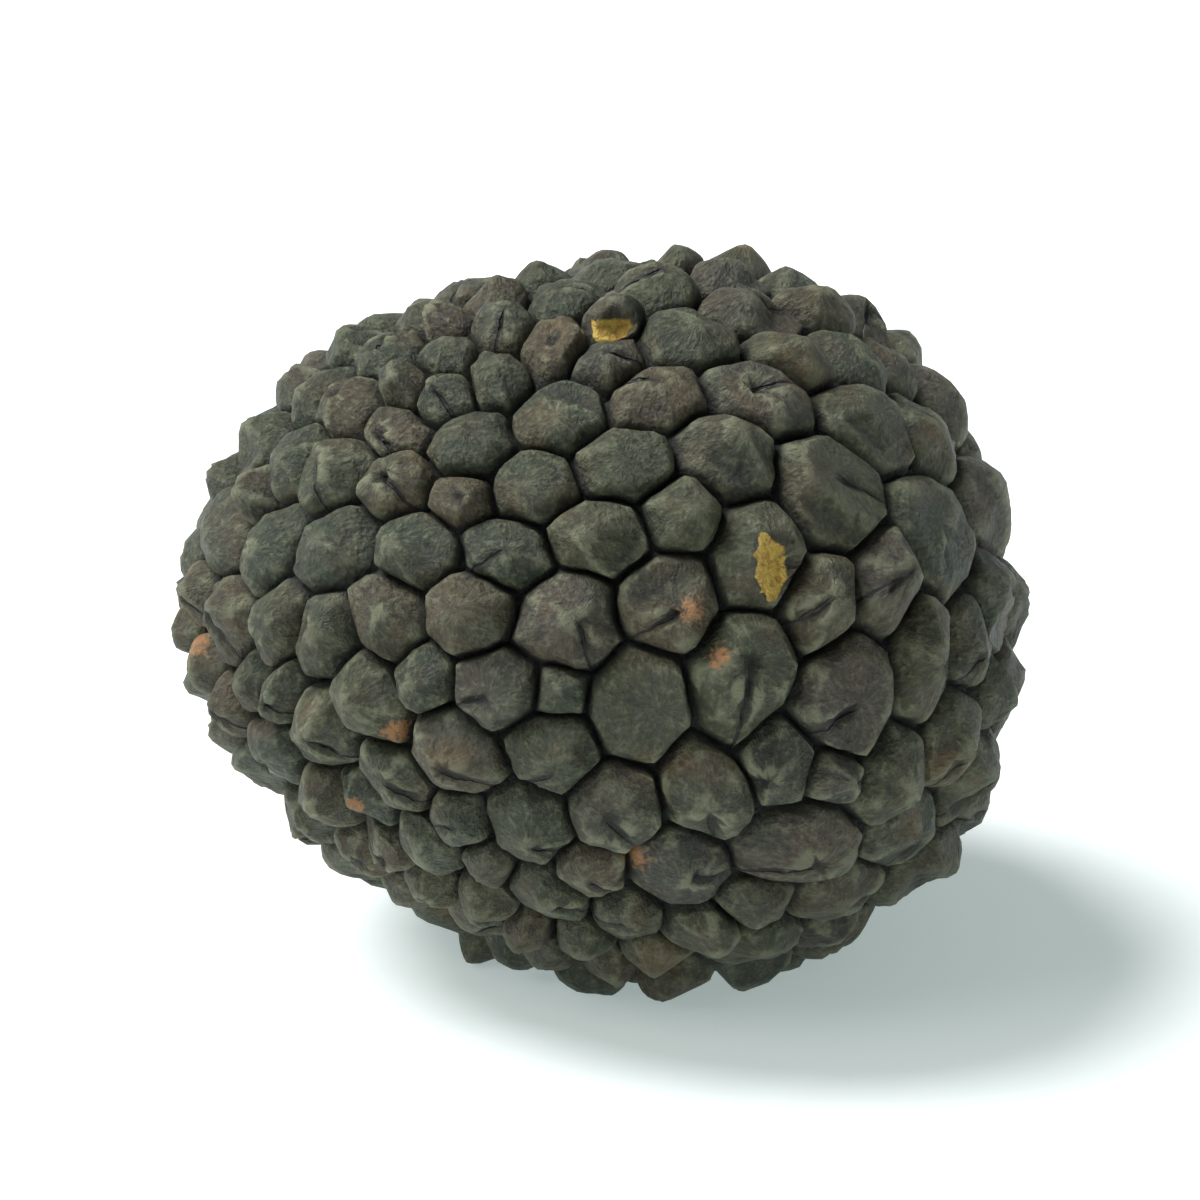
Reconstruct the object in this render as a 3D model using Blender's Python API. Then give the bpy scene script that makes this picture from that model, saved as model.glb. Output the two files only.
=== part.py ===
"""A black truffle, whole and unbroken, lying on the small flat spot underneath.

Metres, +Z up. The origin is on the surface it rests on, under the middle of its box, with the long
axis along X and the blunt end at +X. The body is an egg with a few soft lobes, and its skin is
packed with wide pointed warts. Each wart is one polygon of a net drawn over the body: the net's
lines are the furrows, and each polygon rises from them to a shoulder and then to a tip.
"""

import math

import bmesh
import bpy
import numpy as np
from mathutils import Vector, noise

MM = 0.001

# The body, measured to the shoulders of the warts.
HALF_LENGTH = 24.35 * MM
HALF_DEPTH = 22.45 * MM
HALF_HEIGHT = 20.70 * MM
EGG_TAPER = 0.13  # how much fuller the +X end is than the -X end
NOSE_LIFT = math.radians(2.0)  # the narrow end lies this much higher than the blunt one
UNEVENNESS = 0.45 * MM
UNEVENNESS_PER_TURN = 1.7  # swells of the skin from one side of the body to the other

# Soft lobes and hollows: the direction of each, its height, and how far it spreads, in degrees.
LOBES = (
    (Vector((-0.72, 0.10, 0.66)), 0.75 * MM, 30.0),  # full slope from the top down to the nose
    (Vector((0.80, -0.15, -0.50)), 0.90 * MM, 24.0),  # full underside of the blunt end
    (Vector((-0.72, -0.15, -0.66)), -0.60 * MM, 24.0),  # nose clear of the surface
    (Vector((0.15, 0.95, 0.25)), -0.85 * MM, 26.0),  # shallow hollow at the back
    (Vector((-0.50, 0.82, -0.10)), 0.60 * MM, 28.0),  # lobe beside the hollow
    (Vector((0.22, 0.02, -1.00)), -0.90 * MM, 24.0),  # underside, pressed by its own weight
)

# The warts.
WART_COUNT = 312
SCATTER_SEED = 11
EVENING_ROUNDS = 6  # each round moves every tip to the middle of its own patch
SAMPLES_PER_WART = 60
LARGE_WARTS_TOWARDS = Vector((0.62, -0.15, 0.62))  # warts are widest at this side of the body
CROWDING = 0.38  # how much more closely the tips stand on the opposite side
FURROW_DEPTH = 1.30 * MM  # from the shoulders down to the furrow
SHOULDER_SPAN = 0.76  # width of the shoulder polygon as a share of the wart's own
TIP_HEIGHT = 0.70 * MM  # from the shoulder up to the tip
HEIGHT_SPREAD = 0.25 * MM  # warts stand this much higher or lower than each other

# The body's centre above the surface it lies on. The body reaches about 1.2 mm further down than
# this leaves room for: the lowest warts are pressed flat by that much.
BODY_CENTRE = Vector((0.28, 0.08, 19.74)) * MM


def clear_scene():
    for old in list(bpy.data.objects):
        bpy.data.objects.remove(old, do_unlink=True)


def truffle_skin():
    """Matt, near-black olive skin."""
    material = bpy.data.materials.new("truffle_skin")
    material.use_nodes = True
    shader = material.node_tree.nodes["Principled BSDF"]
    shader.inputs["Base Color"].default_value = (0.052, 0.058, 0.046, 1.0)
    shader.inputs["Roughness"].default_value = 0.72
    shader.inputs["Metallic"].default_value = 0.0
    return material


def egg_radius(direction):
    """Distance from the body's centre to the smooth egg, in one direction."""
    turned = Vector(
        (
            direction.x * math.cos(NOSE_LIFT) - direction.z * math.sin(NOSE_LIFT),
            direction.y,
            direction.x * math.sin(NOSE_LIFT) + direction.z * math.cos(NOSE_LIFT),
        )
    )
    stretched = Vector((turned.x / HALF_LENGTH, turned.y / HALF_DEPTH, turned.z / HALF_HEIGHT))
    along = turned.x
    return (1.0 + EGG_TAPER * along * (1.0 - along * along)) / stretched.length


def body_radius(direction):
    """Distance from the body's centre to the shoulders of the warts: the egg with its lobes."""
    radius = egg_radius(direction)
    for towards, height, spread in LOBES:
        apart = direction.angle(towards) / math.radians(spread)
        radius += height * math.exp(-apart * apart)
    return radius + UNEVENNESS * noise.noise(direction * UNEVENNESS_PER_TURN)


def evenly_round(count):
    """Directions spaced evenly over a ball, along a spiral from pole to pole."""
    step = np.arange(count) + 0.5
    height = 1.0 - 2.0 * step / count
    turn = step * math.pi * (1.0 + math.sqrt(5.0))
    flat = np.sqrt(1.0 - height * height)
    return np.stack([flat * np.cos(turn), flat * np.sin(turn), height], axis=1)


def tip_directions():
    """Directions of the wart tips: scattered at random, then moved apart round by round."""
    places = evenly_round(WART_COUNT * SAMPLES_PER_WART)
    large_side = np.array(LARGE_WARTS_TOWARDS.normalized())
    crowd = 1.0 - CROWDING * (places @ large_side)
    chance = crowd / crowd.sum()
    scatter = np.random.default_rng(SCATTER_SEED)
    tips = places[scatter.choice(len(places), WART_COUNT, replace=False, p=chance)]
    for _ in range(EVENING_ROUNDS):
        nearest = np.argmax(places @ tips.T, axis=1)
        middles = [np.bincount(nearest, crowd * axis, WART_COUNT) for axis in places.T]
        tips = np.stack(middles, axis=1)
        tips /= np.linalg.norm(tips, axis=1, keepdims=True)
    return [Vector(tip) for tip in tips]


def furrow_net(tips):
    """A net on a ball of radius 1 with one polygon round each tip, in the order of the tips."""
    hull = bmesh.new()
    for tip in tips:
        hull.verts.new(tip)
    bmesh.ops.convex_hull(hull, input=hull.verts[:])
    hull.faces.ensure_lookup_table()
    hull.faces.index_update()
    net = bmesh.new()
    corners = [net.verts.new(face.calc_center_median().normalized()) for face in hull.faces]
    for peak in hull.verts:
        tip = peak.co.normalized()
        east = tip.orthogonal().normalized()
        north = tip.cross(east)

        def bearing(face):
            there = corners[face.index].co
            return math.atan2(there.dot(north), there.dot(east))

        net.faces.new([corners[face.index] for face in sorted(peak.link_faces, key=bearing)])
    hull.free()
    return net


def raise_warts(net, tips):
    """Lifts every polygon of the net to a shoulder and a tip, and puts the net on the body."""
    heights = np.random.default_rng(SCATTER_SEED + 1).uniform(-1.0, 1.0, len(tips))
    furrow_verts = net.verts[:]
    tops = bmesh.ops.extrude_discrete_faces(net, faces=net.faces[:])["faces"]
    for top, tip, height in zip(tops, tips, heights, strict=True):
        for vert in top.verts:
            direction = tip.lerp(vert.co, SHOULDER_SPAN).normalized()
            vert.co = direction * (body_radius(direction) + HEIGHT_SPREAD * height)
    for vert in furrow_verts:
        direction = vert.co.normalized()
        vert.co = direction * (body_radius(direction) - FURROW_DEPTH)
    peaks = bmesh.ops.poke(net, faces=tops)["verts"]
    for peak, tip, height in zip(peaks, tips, heights, strict=True):
        peak.co = tip * (body_radius(tip) + HEIGHT_SPREAD * height + TIP_HEIGHT)


def set_down(net):
    """Puts the body's centre in its place and presses the lowest warts flat at Z = 0."""
    bmesh.ops.translate(net, verts=net.verts, vec=BODY_CENTRE)
    for vert in net.verts:
        vert.co.z = max(vert.co.z, 0.0)


def make_truffle():
    tips = tip_directions()
    net = furrow_net(tips)
    raise_warts(net, tips)
    set_down(net)
    bmesh.ops.recalc_face_normals(net, faces=net.faces[:])
    mesh = bpy.data.meshes.new("truffle")
    net.to_mesh(mesh)
    net.free()
    mesh.materials.append(truffle_skin())
    truffle = bpy.data.objects.new("truffle", mesh)
    bpy.context.scene.collection.objects.link(truffle)
    return truffle


clear_scene()
make_truffle()
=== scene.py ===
# %% [markdown]
# # A black truffle
# A whole black truffle, washed and brushed: an egg-shaped body, packed all over with wide pointed
# warts. It is one growth, so it is one piece here. The CAD model gives the body, its size and the
# place of every wart. This script grows the real skin over it, wart by wart, with the facets,
# folds, splits, dimples and knocked-off chips that make no two of them alike.
#
# Everything is in metres, in the CAD model's own frame: Z is up, and the truffle rests at Z = 0.

import math

import bpy
import numpy as np
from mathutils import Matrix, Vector
from mathutils.bvhtree import BVHTree


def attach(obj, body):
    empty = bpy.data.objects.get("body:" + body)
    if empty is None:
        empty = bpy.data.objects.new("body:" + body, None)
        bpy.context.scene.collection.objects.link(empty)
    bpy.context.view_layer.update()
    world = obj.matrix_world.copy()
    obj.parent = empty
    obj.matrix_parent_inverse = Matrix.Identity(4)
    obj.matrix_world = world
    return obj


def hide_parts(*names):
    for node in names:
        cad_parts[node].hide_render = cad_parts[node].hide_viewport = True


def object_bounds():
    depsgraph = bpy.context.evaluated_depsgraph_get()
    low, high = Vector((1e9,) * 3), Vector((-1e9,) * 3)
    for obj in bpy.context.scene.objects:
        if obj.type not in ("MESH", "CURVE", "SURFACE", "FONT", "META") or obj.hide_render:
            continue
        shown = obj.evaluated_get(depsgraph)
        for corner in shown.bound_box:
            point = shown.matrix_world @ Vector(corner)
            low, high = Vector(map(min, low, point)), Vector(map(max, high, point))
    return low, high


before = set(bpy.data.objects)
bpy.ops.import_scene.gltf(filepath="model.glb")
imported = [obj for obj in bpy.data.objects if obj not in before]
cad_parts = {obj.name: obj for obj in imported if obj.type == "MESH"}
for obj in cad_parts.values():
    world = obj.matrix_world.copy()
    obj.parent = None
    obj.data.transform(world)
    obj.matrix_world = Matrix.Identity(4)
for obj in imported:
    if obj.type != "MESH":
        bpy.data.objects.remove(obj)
cad_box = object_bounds()
MM = 0.001


def in_mm(box):
    """The two corners of a box in millimetres, for printing."""
    return [[round(side / MM, 2) for side in corner] for corner in box]


print("CAD box in mm:", in_mm(cad_box))

# %% [markdown]
# ## A bench for node trees
# The shape and the finish are both node trees. In Blender's editor they would be boxes joined by
# wires; here they are built line by line. `Bench` holds one tree and adds nodes to it. An input is
# given by name or number, as a plain value or as the output of another node, so that a formula
# reads almost as it would on paper.
#
# Two of its methods shape most of what follows. `ramp` turns one stretch of numbers smoothly into
# another, which is how a mark fades in and out. `swing` turns a noise, which lies between 0 and 1,
# into a push that goes either way.


# %% Build node trees line by line
def socket_called(sockets, key):
    """The socket with that number or name. Of several with one name, the one in use."""
    if isinstance(key, int):
        return sockets[key]
    return next(socket for socket in sockets if socket.name == key and socket.enabled)


class Bench:
    """Adds nodes to one tree. Each method returns an output of the node that it added."""

    PER_ROW = 20
    STEP = (190, -330)  # from one node to the next, and from one row to the next, in the editor

    def __init__(self, tree):
        self.tree = tree

    def add(self, kind, inputs=None, out=0, **settings):
        node = self.tree.nodes.new(kind)
        row, column = divmod(len(self.tree.nodes), self.PER_ROW)
        node.location = (column * self.STEP[0], row * self.STEP[1])
        for name, value in settings.items():
            setattr(node, name, value)
        for key, value in (inputs or {}).items():
            self.feed(socket_called(node.inputs, key), value)
        return socket_called(node.outputs, out)

    def feed(self, socket, value):
        if isinstance(value, bpy.types.NodeSocket):
            self.tree.links.new(value, socket)
        else:
            socket.default_value = value

    def sum(self, kind, *values):
        """Arithmetic on numbers."""
        return self.add("ShaderNodeMath", dict(enumerate(values)), operation=kind)

    def vector(self, kind, *values):
        """Arithmetic on vectors."""
        inputs = dict(enumerate(values))
        if kind == "SCALE":
            inputs = {0: values[0], "Scale": values[1]}
        out = "Value" if kind in ("LENGTH", "DOT_PRODUCT") else "Vector"
        return self.add("ShaderNodeVectorMath", inputs, out=out, operation=kind)

    def parts(self, value):
        """The three numbers of a vector."""
        return self.add("ShaderNodeSeparateXYZ", {0: value}).node.outputs

    def ramp(self, value, low, high, to_low=0.0, to_high=1.0):
        """Turns low..high smoothly into to_low..to_high, and stays there outside that stretch."""
        inputs = {"Value": value, "From Min": low, "From Max": high}
        inputs.update({"To Min": to_low, "To Max": to_high})
        return self.add("ShaderNodeMapRange", inputs, interpolation_type="SMOOTHSTEP")

    def noise(self, place, scale, detail=2.0, out=0, **inputs):
        inputs = {"Vector": place, "Scale": scale, "Detail": detail, **inputs}
        return self.add("ShaderNodeTexNoise", inputs, out=out)

    def swing(self, noise, amount):
        """A noise as a push of up to half the amount either way."""
        return self.sum("MULTIPLY", self.sum("SUBTRACT", noise, 0.5), amount)


print("a bench lays its nodes out in rows of", Bench.PER_ROW)

# %% [markdown]
# ## Where the warts stand
# The warts crowd the skin like cobbles, a little larger towards the upper side of the blunt end.
# Placing three hundred of them by hand would look arranged. A plain random scatter would leave gaps
# and heaps. The CAD model scatters them at random and then evens them out: every tip moves to the
# middle of the patch that is nearest to it, a few times over. The same rule with the same seed is
# used here, so each wart grows where its CAD wart stands.

# %% Directions of the wart tips, by the CAD model's rule
WART_COUNT = 312
SCATTER_SEED = 11
EVENING_ROUNDS = 6
SAMPLES_PER_WART = 60
LARGE_WARTS_TOWARDS = Vector((0.62, -0.15, 0.62))  # the warts are widest on this side
CROWDING = 0.38  # how much more closely the tips stand on the opposite side
BODY_CENTRE = Vector((0.28, 0.08, 19.74)) * MM  # the middle that the tips point away from


def evenly_round(count):
    """Directions spaced evenly over a ball, along a spiral from pole to pole."""
    step = np.arange(count) + 0.5
    height = 1.0 - 2.0 * step / count
    turn = step * math.pi * (1.0 + math.sqrt(5.0))
    flat = np.sqrt(1.0 - height * height)
    return np.stack([flat * np.cos(turn), flat * np.sin(turn), height], axis=1)


def tip_directions():
    """Directions of the wart tips: scattered at random, then moved apart round by round."""
    places = evenly_round(WART_COUNT * SAMPLES_PER_WART)
    crowd = 1.0 - CROWDING * (places @ np.array(LARGE_WARTS_TOWARDS.normalized()))
    scatter = np.random.default_rng(SCATTER_SEED)
    chosen = scatter.choice(len(places), WART_COUNT, replace=False, p=crowd / crowd.sum())
    tips = places[chosen]
    for _ in range(EVENING_ROUNDS):
        nearest = np.argmax(places @ tips.T, axis=1)
        middles = [np.bincount(nearest, crowd * axis, WART_COUNT) for axis in places.T]
        tips = np.stack(middles, axis=1)
        tips /= np.linalg.norm(tips, axis=1, keepdims=True)
    return tips


tips = tip_directions()
to_next = np.degrees(np.arccos(np.sort(tips @ tips.T, axis=1)[:, -2]))
print(f"{len(tips)} wart tips, each {to_next.min():.1f} to {to_next.max():.1f} degrees from the next")

# %% [markdown]
# ## Growing the skin
# The skin follows a rule, so Geometry Nodes grow it from the tips, in these steps:
#
# 1. a hull pulled tight over the tips joins every tip to its neighbours;
# 2. the dual of that hull is a net with one polygon round each tip, whose lines are the furrows;
# 3. each polygon is extruded in rings that step in and up, to a shoulder and then to the tip;
# 4. every face is split, and the sides are evened out while the furrows stay sharp;
# 5. each wart is cut, folded, split or dimpled, by lots that it alone has drawn;
# 6. the underside is pressed flat by the truffle's own weight.
#
# A sculpted height map could give the same relief, but its grid would cut across the furrows. Here
# the mesh lines run along them, so narrow furrows stay crisp with few faces.
#
# The sizes are inputs of the tree, so each of them can be turned like a knob on the modifier.

# %% Start the tree with its sizes as inputs
SIZES = {
    "Furrow Depth": 2.60 * MM,  # from the CAD model's tips down to the furrows
    "Wart Height": 2.98 * MM,  # from the furrows to the highest tips, before a facet cuts them blunt
    "Wander": 1.60 * MM,  # the furrows stray by up to half of this along each axis
    "Ridge Height": 0.50 * MM,  # the folds rise and sink by up to half of this
    "Dimple Depth": 0.55 * MM,
    "Split Depth": 0.50 * MM,
    "Grain Height": 0.22 * MM,  # from the deepest pore to the highest grain
    "Sag": 0.60 * MM,  # how far the lowest warts give under the truffle's weight
}
GROWTH_SEED = 3

growth = bpy.data.node_groups.new("grow_truffle_skin", "GeometryNodeTree")
for name, kind in (
    ("Tips", "NodeSocketGeometry"),
    ("CAD Truffle", "NodeSocketObject"),
    ("Body Centre", "NodeSocketVector"),
    *((size, "NodeSocketFloat") for size in SIZES),
    ("Seed", "NodeSocketInt"),
    ("Skin", "NodeSocketMaterial"),
):
    growth.interface.new_socket(name, in_out="INPUT", socket_type=kind)
growth.interface.new_socket("Truffle", in_out="OUTPUT", socket_type="NodeSocketGeometry")
bench = Bench(growth)
given = growth.nodes.new("NodeGroupInput").outputs
print("inputs of the tree:", [socket.name for socket in given if socket.name])

# %% [markdown]
# ## Notes pinned to the skin
# Later steps ask things of a wart: which way it points, where its foot is, what it drew. A named
# attribute is such a note, pinned to every point or face. It stays on through extruding and
# splitting, and the material can read it too. The other way, working everything out again at each
# step, would be slow and would let the finish drift away from the shape.


# %% Write and read notes
def store(bench, geometry, name, value, kind, domain, **inputs):
    """Writes a value on every point or face under a name."""
    inputs = {"Geometry": geometry, "Name": name, "Value": value, **inputs}
    return bench.add("GeometryNodeStoreNamedAttribute", inputs, data_type=kind, domain=domain)


def recall(bench, name, kind="FLOAT"):
    """Reads a value that was stored under a name."""
    return bench.add("GeometryNodeInputNamedAttribute", {"Name": name}, data_type=kind)


print("notes go on points or faces, as numbers or as vectors")

# %% [markdown]
# ## The net of furrows
# On the real skin the furrows meet three at a time, and no furrow runs out into nothing. A dual mesh
# has exactly that habit: it puts a corner in every triangle of the hull and a polygon round every
# tip. A ray from the middle of the body out to the CAD surface then tells how far out each wart
# reaches, so that the net follows the body with its lobes and hollows.


# %% Steps 1 and 2: from tips to a net of furrows
RAY_LENGTH = 1.0  # well past the skin of any truffle


def net_of_furrows(bench, given):
    """The polygon net, sunk into the body. Each polygon knows its wart's way out and its reach."""
    hull = bench.add("GeometryNodeConvexHull", {"Geometry": given["Tips"]})
    body = bench.add("GeometryNodeObjectInfo", {"Object": given["CAD Truffle"]}, out="Geometry")
    way = bench.vector("NORMALIZE", bench.add("GeometryNodeInputPosition"))
    centre = given["Body Centre"]
    ray = {"Target Geometry": body, "Source Position": centre, "Ray Direction": way}
    reach = bench.add("GeometryNodeRaycast", {**ray, "Ray Length": RAY_LENGTH}, out="Hit Distance")
    hull = store(bench, hull, "way", way, "FLOAT_VECTOR", "POINT")
    hull = store(bench, hull, "reach", reach, "FLOAT", "POINT")
    hull = store(bench, hull, "corner_reach", recall(bench, "reach"), "FLOAT", "FACE")
    net = bench.add("GeometryNodeDualMesh", {"Mesh": hull})
    corner_way = bench.vector("NORMALIZE", bench.add("GeometryNodeInputPosition"))
    sunk = bench.sum("SUBTRACT", recall(bench, "corner_reach"), given["Furrow Depth"])
    corner = bench.vector("ADD", centre, bench.vector("SCALE", corner_way, sunk))
    net = bench.add("GeometryNodeSetPosition", {"Geometry": net, "Position": corner})
    return store(bench, net, "corner", bench.add("GeometryNodeInputPosition"), "FLOAT_VECTOR", "POINT")


net = net_of_furrows(bench, given)
print("nodes up to the net:", len(growth.nodes))

# %% [markdown]
# ## Every wart draws its lots
# Real warts differ because each has had its own luck: pressed by a stone, split in a dry week, or
# left alone. Here each wart draws three lots from a seeded Random Value node, and its height, facets,
# folds, splits, dimples and colour all follow them. A point reads the mean of the faces round it, and
# even if these all say the same, that mean can be off in its last digit. So the lots are stored as
# whole numbers plus a half, and the tree rounds them down where it reads them.
#
# A wart also gets its foot, the place under its tip. It stands a little off the middle, by a draw of
# its own, so that the tips lean every way.

# %% Each wart's lots, half width and foot
LOTS = 1000.0  # a lot is a whole number below this
LEAN = 0.28  # about how far a tip stands off the middle of its wart, as a share of its half width


def random_vector(bench, lowest, highest, seed):
    """Three random numbers for each face, the same on every run."""
    inputs = {"Min": (lowest,) * 3, "Max": (highest,) * 3, "Seed": seed}
    return bench.add("FunctionNodeRandomValue", inputs, data_type="FLOAT_VECTOR")


def draw_lots(bench, net, given):
    """Stores each wart's lots, half width and foot on its polygon."""
    lots = bench.vector("FLOOR", random_vector(bench, 0.0, LOTS, given["Seed"]))
    lots = bench.vector("ADD", lots, (0.5, 0.5, 0.5))
    net = store(bench, net, "lots", lots, "FLOAT_VECTOR", "FACE")
    area = bench.add("GeometryNodeInputMeshFaceArea")
    half_width = bench.sum("SQRT", bench.sum("DIVIDE", area, math.pi))
    net = store(bench, net, "half_width", half_width, "FLOAT", "FACE")
    way = recall(bench, "way", "FLOAT_VECTOR")
    anywhere = random_vector(bench, -1.0, 1.0, bench.sum("ADD", given["Seed"], 1.0))
    sideways = bench.vector("CROSS_PRODUCT", way, anywhere)
    lean = bench.vector("SCALE", sideways, bench.sum("MULTIPLY", recall(bench, "half_width"), LEAN))
    foot_reach = bench.sum("SUBTRACT", recall(bench, "reach"), given["Furrow Depth"])
    foot = bench.vector("ADD", given["Body Centre"], bench.vector("SCALE", way, foot_reach))
    return store(bench, net, "foot", bench.vector("ADD", foot, lean), "FLOAT_VECTOR", "FACE")


def shares_drawn(bench):
    """The wart's three lots, as shares of one."""
    whole = bench.vector("FLOOR", recall(bench, "lots", "FLOAT_VECTOR"))
    return bench.vector("SCALE", whole, 1.0 / LOTS)


net = draw_lots(bench, net, given)
print("nodes with the lots:", len(growth.nodes))

# %% [markdown]
# ## Raising the warts
# A wart is a low pyramid with steep feet: the sides stand up out of the furrow, turn over a
# shoulder, and slope to a tip. Three extrusions give that outline. Each one shrinks the polygon
# towards the foot and lifts it along the wart's own way, and notes how high it has come. The last
# ring closes at the tip, so its points are merged there.

# %% Step 3: rings that step in and up, from the furrow to the tip
RINGS = (  # width of each ring as a share of the wart's own, and its share of the height
    (0.94, 0.38),
    (0.78, 0.60),
    (0.00, 1.00),
)
LOWEST_WART = 0.76  # height of the lowest wart as a share of the highest
AT_TIP = 0.99  # a point that has risen by more than this share belongs to a tip
MERGE_DISTANCE = 0.001 * MM


def extrude_ring(bench, warts, top, given, span, share):
    """Adds one ring to every wart. Returns the warts and the selection of their new tops."""
    extruded = bench.tree.nodes.new("GeometryNodeExtrudeMesh")
    extruded.mode = "FACES"
    inputs = {"Mesh": warts, "Selection": top, "Offset Scale": 0.0, "Individual": True}
    for name, value in inputs.items():
        bench.feed(extruded.inputs[name], value)
    top = extruded.outputs["Top"]
    foot = recall(bench, "foot", "FLOAT_VECTOR")
    corner = recall(bench, "corner", "FLOAT_VECTOR")
    inwards = bench.vector("SCALE", bench.vector("SUBTRACT", corner, foot), span)
    luck = bench.parts(shares_drawn(bench))[0]
    share_here = bench.ramp(luck, 0.0, 1.0, share * LOWEST_WART, share)
    rise = bench.sum("MULTIPLY", share_here, given["Wart Height"])
    lift = bench.vector("SCALE", recall(bench, "way", "FLOAT_VECTOR"), rise)
    place = bench.vector("ADD", bench.vector("ADD", foot, inwards), lift)
    moved = {"Geometry": extruded.outputs["Mesh"], "Selection": top, "Position": place}
    warts = bench.add("GeometryNodeSetPosition", moved)
    return store(bench, warts, "rise", share, "FLOAT", "POINT", Selection=top), top


def raise_warts(bench, net, given):
    """Extrudes each polygon of the net into a wart, and closes it at its tip."""
    warts = store(bench, net, "rise", 0.0, "FLOAT", "POINT")
    top = True
    for span, share in RINGS:
        warts, top = extrude_ring(bench, warts, top, given, span, share)
    at_tip = bench.sum("GREATER_THAN", recall(bench, "rise"), AT_TIP)
    merged = {"Geometry": warts, "Selection": at_tip, "Distance": MERGE_DISTANCE}
    return bench.add("GeometryNodeMergeByDistance", merged)


warts = raise_warts(bench, net, given)
print("nodes with the raised warts:", len(growth.nodes))

# %% [markdown]
# ## Evening out the sides
# The marks below need more points than the rings have. Subdivision Surface would turn the warts into
# round pebbles, and the real ones have flat sides and clear edges. So every face is split in four
# twice over without moving anything, and a single blur of the positions then takes the hardest
# corners off. The points of the furrows keep their places, which keeps the furrows narrow.

# %% Step 4: split the faces and soften all but the furrows
SPLITTING_ROUNDS = 2
SOFTENING = 0.8
CLEAR_OF_FURROW = 0.01  # a point that has risen by less than this share lies in a furrow


def soften_sides(bench, warts):
    """Splits every face in four, twice over, and averages the places of neighbouring points."""
    warts = bench.add("GeometryNodeSubdivideMesh", {"Mesh": warts, "Level": SPLITTING_ROUNDS})
    blur = {"Value": bench.add("GeometryNodeInputPosition"), "Iterations": 1, "Weight": SOFTENING}
    even = bench.add("GeometryNodeBlurAttribute", blur, data_type="FLOAT_VECTOR")
    above = bench.sum("GREATER_THAN", recall(bench, "rise"), CLEAR_OF_FURROW)
    moved = {"Geometry": warts, "Selection": above, "Position": even}
    return bench.add("GeometryNodeSetPosition", moved)


skin = soften_sides(bench, warts)
print("nodes with the softened sides:", len(growth.nodes))

# %% [markdown]
# ## Furrows that wander
# The furrows of the net are straight from corner to corner, and real ones wander. A noise with
# three channels pushes every point a little way, and points close together go nearly the same way,
# so whole warts are bent gently out of true.

# %% Step 5, first mark: bend the net gently out of true
WANDER_SCALE = 230.0  # swells of the push per metre


def let_furrows_wander(bench, skin, given):
    """Pushes every point of the skin a little way."""
    place = bench.add("GeometryNodeInputPosition")
    push = bench.noise(place, WANDER_SCALE, out="Color")
    push = bench.vector("SUBTRACT", push, (0.5, 0.5, 0.5))
    push = bench.vector("SCALE", push, given["Wander"])
    return bench.add("GeometryNodeSetPosition", {"Geometry": skin, "Offset": push})


skin = let_furrows_wander(bench, skin, given)
print("nodes with the wandering furrows:", len(growth.nodes))

# %% [markdown]
# ## Standing on a wart
# A split or a facet belongs to one wart, so it is easiest to describe by somebody who stands at that
# wart's foot: how high a point is, which way out it lies and how far. `OnWart` works these out from
# the notes. The material will stand in the same place later, so both trees share it.


# %% Where a point lies on its own wart
TOP_COMES_IN = (0.3, 0.9)  # shares of the rise between which a side turns into the top


class OnWart:
    """Where a point lies on its wart, and what the wart drew."""

    def __init__(self, bench, place, way, foot, drawn):
        self.up = bench.vector("NORMALIZE", way)
        from_foot = bench.vector("SUBTRACT", place, foot)
        self.height = bench.vector("DOT_PRODUCT", from_foot, self.up)
        self.out = bench.vector("SUBTRACT", from_foot, bench.vector("SCALE", self.up, self.height))
        self.bearing = bench.vector("NORMALIZE", self.out)
        self.drawn = drawn
        self.lot = bench.parts(drawn)

    def beside_and_along(self, bench, across):
        """How far out a point lies across a line through the tip, and how far along that line."""
        along = bench.vector("CROSS_PRODUCT", self.up, across)
        beside = bench.vector("DOT_PRODUCT", self.out, across)
        return beside, bench.vector("DOT_PRODUCT", self.out, along)


place = bench.add("GeometryNodeInputPosition")
way = recall(bench, "way", "FLOAT_VECTOR")
wart = OnWart(bench, place, way, recall(bench, "foot", "FLOAT_VECTOR"), shares_drawn(bench))
half_width = recall(bench, "half_width")
spread = bench.sum("DIVIDE", bench.vector("LENGTH", wart.out), half_width)  # about 1 at the edge
rise = recall(bench, "rise")
on_top = bench.ramp(rise, *TOP_COMES_IN)
print("nodes up to here:", len(growth.nodes))

# %% [markdown]
# ## Facets
# Warts press on each other while they grow, so their tops are cut by nearly flat facets, like a
# roughly cut stone. Moving points along the normals can't do that, because the steep sides would
# fold under the top. Instead each facet is a sloping ceiling over the wart, and the height under it
# is capped. One facet lies almost level across the tip and makes it blunt. Three more slope down to
# the sides, at bearings and slopes that the wart has drawn.

# %% Step 5, second mark: cap each wart by its facets
SIDE_FACETS = 3
# Lowest and highest of: where the facet starts, in half widths from the tip; and its slope.
BLUNT_TOP = ((-2.20, 0.10), (0.08, 0.26))
SIDE_FACET = ((-0.15, 0.45), (0.35, 1.00))
FACETS_COME_IN = (0.05, 0.40)  # shares of the rise between which the facets come in
BEARING_LUCK = 0.8  # how freely a facet turns within its own share of the round
SPIN = 20.0  # turns the whole set by another angle on each wart
SOFT_EDGE = 0.06 * MM  # how softly one facet runs into the next
SHALLOWEST_CUT = -1.00 * MM  # a ceiling this far above the tip cuts nothing
LEAST_HEIGHT = 0.35  # the facets leave at least this share of a wart's height
ANY_SIDE = (0.3, 0.5, 0.8)  # a fixed direction, from which bearings are counted


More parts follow.
